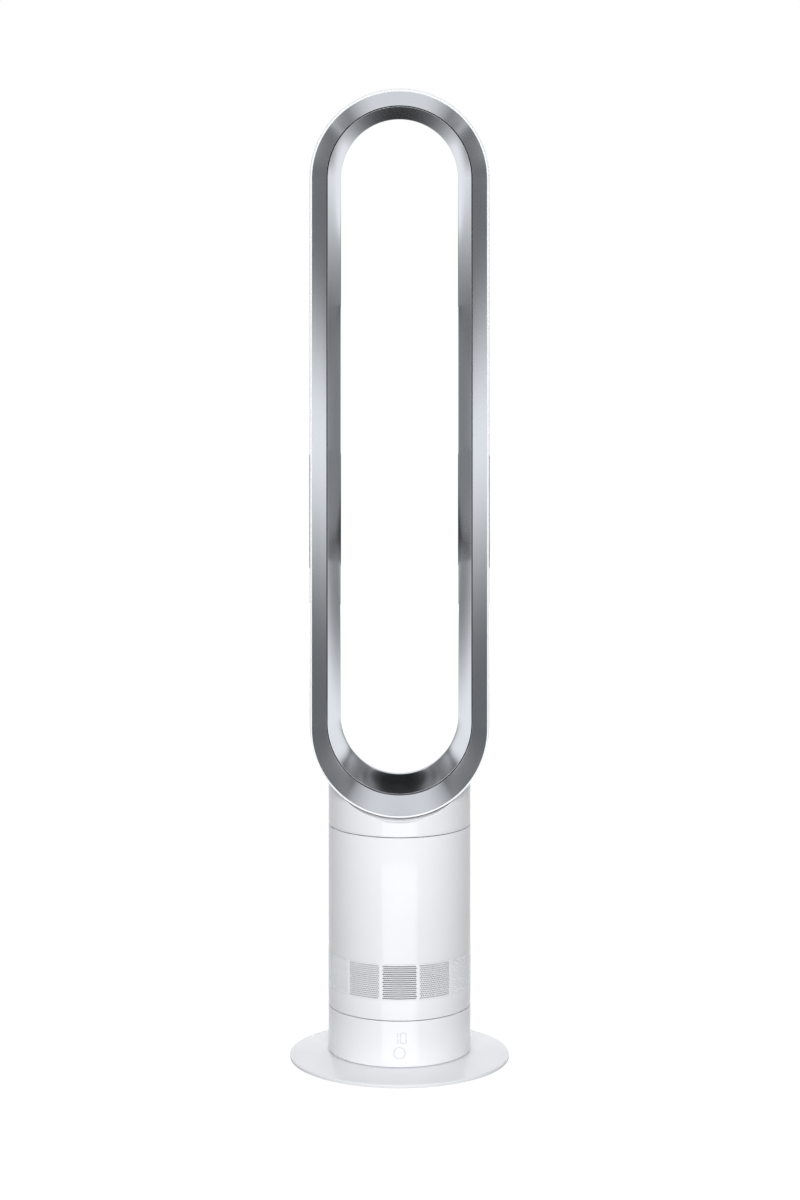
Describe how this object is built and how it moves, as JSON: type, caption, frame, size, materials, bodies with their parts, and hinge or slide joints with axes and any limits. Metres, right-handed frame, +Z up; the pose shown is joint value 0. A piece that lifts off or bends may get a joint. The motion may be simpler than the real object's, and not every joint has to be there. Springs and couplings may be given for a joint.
{
  "type": "bladeless tower fan",
  "caption": "Slim bladeless tower fan: a long open air loop on a turning cylindrical body with a perforated intake band, over a fixed base with a round plate, button and display.",
  "frame": {"origin": "on the floor under the centre of the base plate, on the turning axis", "axes": "+Z up along the turning axis, -Y the front where the button and the outlet face, +X to the right seen from the front"},
  "size_m": [0.228, 0.228, 1.0069],
  "materials": {
    "white_gloss": "gloss moulded ABS",
    "silver_satin": "metallised silver, satin",
    "black_rubber": "matt rubber",
    "grey_moulding": "fine moulded grain",
    "acetal": "smooth acetal",
    "steel": "zinc plated",
    "motor_can": "rolled steel",
    "copper_winding": "enamelled copper wire",
    "magnet": "sintered",
    "circuit_board": "solder mask",
    "black_moulding": "moulded black",
    "display_grey": "translucent light guide",
    "foam": "open-cell foam",
    "impeller_blue_grey": "glass-filled nylon"
  },
  "bodies": {
    "base": {"base_plate": "white_gloss", "plate_feet": "black_rubber", "base_chassis": "grey_moulding", "base_screws": "steel", "base_shell": "white_gloss", "cable_gland": "black_rubber", "display_digits": "display_grey", "display_module": "black_moulding", "control_board": "circuit_board", "tact_switch": "black_moulding", "main_board": "circuit_board", "base_deck": "grey_moulding", "deck_screws": "steel", "glide_ring": "acetal", "oscillation_motor": "motor_can", "retaining_ring": "grey_moulding", "retaining_screws": "steel"},
    "pinion": {"motor_output_shaft": "steel", "drive_pinion": "acetal"},
    "button": {"power_button": "white_gloss", "switch_plunger": "acetal"},
    "head": {"body_shell": "white_gloss", "intake_grille": "white_gloss", "neck_collar": "white_gloss", "loop_outer_casing": "white_gloss", "loop_inner_wall": "silver_satin", "loop_front_bezel": "silver_satin", "elastic_mount": "black_rubber", "outlet_seal": "black_rubber", "neck_seal": "black_rubber", "turntable": "grey_moulding", "impeller_housing": "grey_moulding", "motor_bucket": "grey_moulding", "guide_vanes": "grey_moulding", "bucket_cone": "grey_moulding", "motor_cover": "grey_moulding", "slot_spacers": "grey_moulding", "hub_bush": "acetal", "ring_gear": "acetal", "turntable_screws": "steel", "loop_screws": "steel", "lower_bearing": "steel", "upper_bearing": "steel", "motor_stator": "motor_can", "motor_coils": "copper_winding", "motor_board": "circuit_board", "silencer_foam": "foam"},
    "rotor": {"motor_shaft": "steel", "impeller": "impeller_blue_grey", "rotor_magnet": "magnet", "impeller_nut": "steel"}
  },
  "joints": [
    {"name": "oscillate", "type": "hinge", "parent": "base", "child": "head", "pos_m": [0, 0, 0.055], "axis": [0, 0, 1], "range_deg": [-35, 35]},
    {"name": "pinion_spin", "type": "hinge", "parent": "base", "child": "pinion", "pos_m": [0, 0.035, 0.045], "axis": [0, 0, 1], "range_deg": [-180, 180]},
    {"name": "button_press", "type": "slide", "parent": "base", "child": "button", "axis": [0, 1, 0], "range_m": [0, 0.0008], "stiffness_N_per_m": 1500},
    {"name": "impeller_spin", "type": "hinge", "parent": "head", "child": "rotor", "pos_m": [0, 0, 0.165], "axis": [0, 0, 1], "continuous": true}
  ],
  "couplings": [
    {"joint": "pinion_spin", "follows": "oscillate", "ratio": 5}
  ]
}
